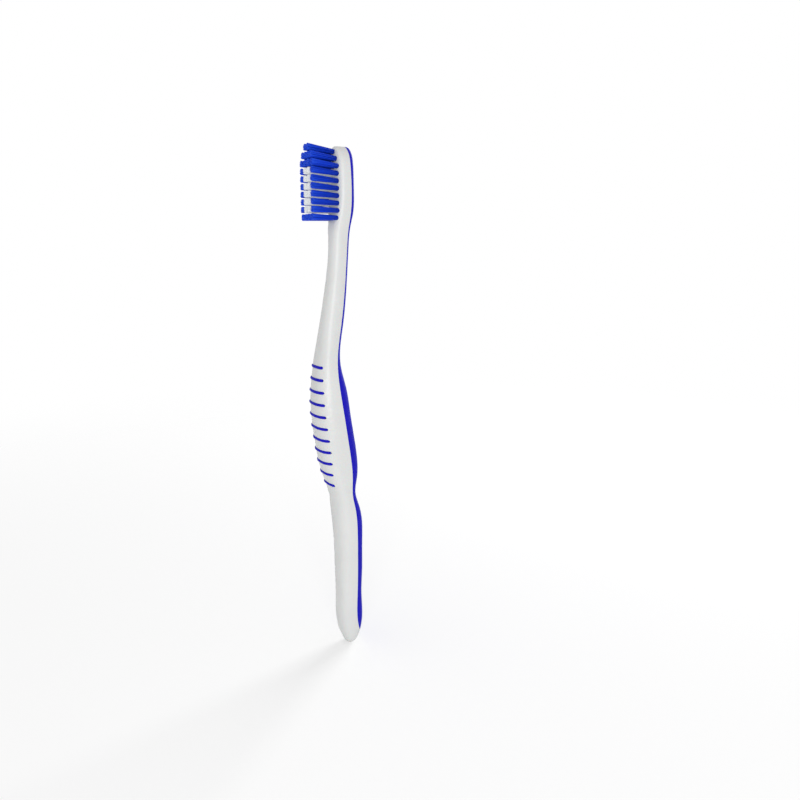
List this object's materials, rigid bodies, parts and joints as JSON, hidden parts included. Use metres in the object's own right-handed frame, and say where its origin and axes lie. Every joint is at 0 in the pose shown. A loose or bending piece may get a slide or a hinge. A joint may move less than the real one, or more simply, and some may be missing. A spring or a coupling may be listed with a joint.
{
  "type": "manual toothbrush",
  "caption": "Manual toothbrush with soft back and front grip ribs, blue and white tufts, and a back bay that stows a small interdental brush and a rubber-tipped gum stimulator.",
  "frame": {"origin": "tip of the handle's tail, on its middle line", "axes": "+Z from the tail to the tip of the head, -Y towards the bristles, +X across"},
  "size_m": [0.0154, 0.0188, 0.1903],
  "materials": {
    "white_handle": "moulded white polypropylene, satin gloss",
    "white_tool": "moulded white plastic of the small tools",
    "blue_soft": "soft-touch blue elastomer, matt with a low sheen",
    "blue_bristle": "blue nylon bristles",
    "white_bristle": "white nylon bristles",
    "anchor_metal": "stamped anchor plate, hidden",
    "wire_steel": "twisted stainless wire",
    "clear_filament": "fine clear nylon filaments",
    "teal_rubber": "grey-teal rubber"
  },
  "bodies": {
    "handle": {"back_overmould": "blue_soft", "grip_rib_01": "blue_soft", "grip_rib_02": "blue_soft", "grip_rib_03": "blue_soft", "grip_rib_04": "blue_soft", "grip_rib_05": "blue_soft", "grip_rib_06": "blue_soft", "grip_rib_07": "blue_soft", "grip_rib_08": "blue_soft", "grip_rib_09": "blue_soft", "grip_rib_10": "blue_soft", "grip_rib_11": "blue_soft", "handle_core": "white_handle", "tuft_anchors": "anchor_metal", "tuft_row01_1": "blue_bristle", "tuft_row01_2": "blue_bristle", "tuft_row02_1": "blue_bristle", "tuft_row02_2": "blue_bristle", "tuft_row02_3": "blue_bristle", "tuft_row02_4": "blue_bristle", "tuft_row03_1": "blue_bristle", "tuft_row03_2": "blue_bristle", "tuft_row03_3": "blue_bristle", "tuft_row03_4": "blue_bristle", "tuft_row04_1": "blue_bristle", "tuft_row04_2": "white_bristle", "tuft_row04_3": "white_bristle", "tuft_row04_4": "blue_bristle", "tuft_row05_1": "blue_bristle", "tuft_row05_2": "white_bristle", "tuft_row05_3": "white_bristle", "tuft_row05_4": "blue_bristle", "tuft_row06_1": "blue_bristle", "tuft_row06_2": "white_bristle", "tuft_row06_3": "white_bristle", "tuft_row06_4": "blue_bristle", "tuft_row07_1": "blue_bristle", "tuft_row07_2": "white_bristle", "tuft_row07_3": "white_bristle", "tuft_row07_4": "blue_bristle", "tuft_row08_1": "blue_bristle", "tuft_row08_2": "white_bristle", "tuft_row08_3": "white_bristle", "tuft_row08_4": "blue_bristle", "tuft_row09_1": "blue_bristle", "tuft_row09_2": "white_bristle", "tuft_row09_3": "white_bristle", "tuft_row09_4": "blue_bristle", "tuft_row10_1": "blue_bristle", "tuft_row10_2": "blue_bristle", "tuft_row10_3": "blue_bristle", "tuft_row10_4": "blue_bristle"},
    "interdental_brush": {"interdental_core": "white_tool", "interdental_grip": "blue_soft", "interdental_wire": "wire_steel", "interdental_filaments": "clear_filament"},
    "gum_stimulator": {"stimulator_core": "white_tool", "stimulator_grip": "blue_soft", "stimulator_tip": "teal_rubber"}
  },
  "joints": [
    {"name": "interdental_lift", "type": "slide", "parent": "handle", "child": "interdental_brush", "axis": [0, 0.9945, 0.1045], "range_m": [0, 0.03]},
    {"name": "stimulator_lift", "type": "slide", "parent": "handle", "child": "gum_stimulator", "axis": [0, 1, 0], "range_m": [0, 0.03]}
  ]
}
